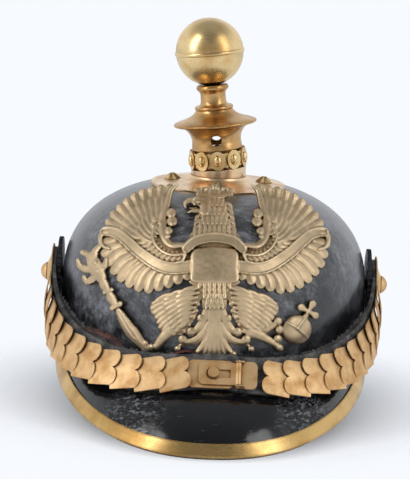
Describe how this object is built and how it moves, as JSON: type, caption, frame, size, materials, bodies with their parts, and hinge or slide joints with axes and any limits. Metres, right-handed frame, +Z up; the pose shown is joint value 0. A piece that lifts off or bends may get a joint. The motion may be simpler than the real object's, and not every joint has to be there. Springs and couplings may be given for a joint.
{
  "type": "dress helmet",
  "caption": "Leather dress helmet with ball finial on a vented neck, pressed eagle front plate and hooked brass chin scales that swing on side posts.",
  "frame": {"origin": "centre of the head opening in the plane of the skull's rim", "axes": "+Z up through the crown, -Y towards the front visor, +X to the wearer's left"},
  "size_m": [0.2176, 0.3144, 0.238],
  "materials": {
    "skull_leather": "worn lacquer over boiled leather",
    "patent_leather": "glossy patent leather",
    "strap_leather": "worn matt leather",
    "liner_leather": "plain tanned leather",
    "cockade_leather": "lacquered leather",
    "trim_brass": "worn brass",
    "finial_brass": "polished gilt brass",
    "copper_plate": "copper-toned brass",
    "eagle_brass": "tarnished pressed brass",
    "scale_brass": "rose-toned brass",
    "inner_brass": "dull brass",
    "fibre": "leather washer"
  },
  "bodies": {
    "helmet": {"skull_shell": "skull_leather", "front_visor": "patent_leather", "rear_visor": "patent_leather", "front_visor_trim": "trim_brass", "trim_end_studs": "trim_brass", "rear_spine": "trim_brass", "spine_stud": "trim_brass", "base_plate": "copper_plate", "base_plate_studs": "copper_plate", "stud_washers": "inner_brass", "neck_collar": "copper_plate", "pearl_ring": "finial_brass", "neck_flare": "finial_brass", "eagle_plate": "eagle_brass", "eagle_posts": "inner_brass", "eagle_nuts": "inner_brass", "left_cockade": "cockade_leather", "right_cockade": "cockade_leather", "left_post_screw": "scale_brass", "right_post_screw": "scale_brass", "left_post_nut": "inner_brass", "right_post_nut": "inner_brass", "sweatband": "liner_leather", "liner_tongues": "liner_leather"},
    "ball_carrier": {"finial_washer": "fibre"},
    "ball_finial": {"finial_flange": "finial_brass", "ball_stem": "finial_brass", "ball_lower_half": "finial_brass", "ball_upper_half": "finial_brass", "ball_seam": "finial_brass", "ball_shank": "inner_brass"},
    "left_chin_strap": {"left_rosette": "scale_brass", "left_strap_leather": "strap_leather", "left_chin_scales": "scale_brass", "left_end_plate": "scale_brass", "left_hook_stud": "scale_brass"},
    "right_chin_strap": {"right_rosette": "scale_brass", "right_strap_leather": "strap_leather", "right_chin_scales": "scale_brass", "right_end_plate": "scale_brass", "hook_pin": "scale_brass"},
    "hook_tongue": {"hook_tongue": "scale_brass"}
  },
  "joints": [
    {"name": "left_chin_swing", "type": "hinge", "parent": "helmet", "child": "left_chin_strap", "pos_m": [0, 0, 0.044], "axis": [-1, 0, 0], "range_deg": [0, 70]},
    {"name": "right_chin_swing", "type": "hinge", "parent": "helmet", "child": "right_chin_strap", "pos_m": [0, 0, 0.044], "axis": [-1, 0, 0], "range_deg": [0, 70]},
    {"name": "tongue_lift", "type": "hinge", "parent": "right_chin_strap", "child": "hook_tongue", "pos_m": [0.016, -0.12785, 0.01214], "axis": [0, 0.6157, 0.788], "range_deg": [0, 60]},
    {"name": "ball_lift", "type": "slide", "parent": "helmet", "child": "ball_carrier", "axis": [-0.1184, 0, 0.993], "range_m": [0, 0.00401]},
    {"name": "ball_turn", "type": "hinge", "parent": "ball_carrier", "child": "ball_finial", "pos_m": [0, 0, 0.1142], "axis": [-0.1184, 0, 0.993], "range_deg": [0, 720]}
  ],
  "couplings": [
    {"joint": "right_chin_swing", "follows": "left_chin_swing", "ratio": 1},
    {"joint": "ball_lift", "follows": "ball_turn", "m_per_rad": 0.00031831}
  ]
}
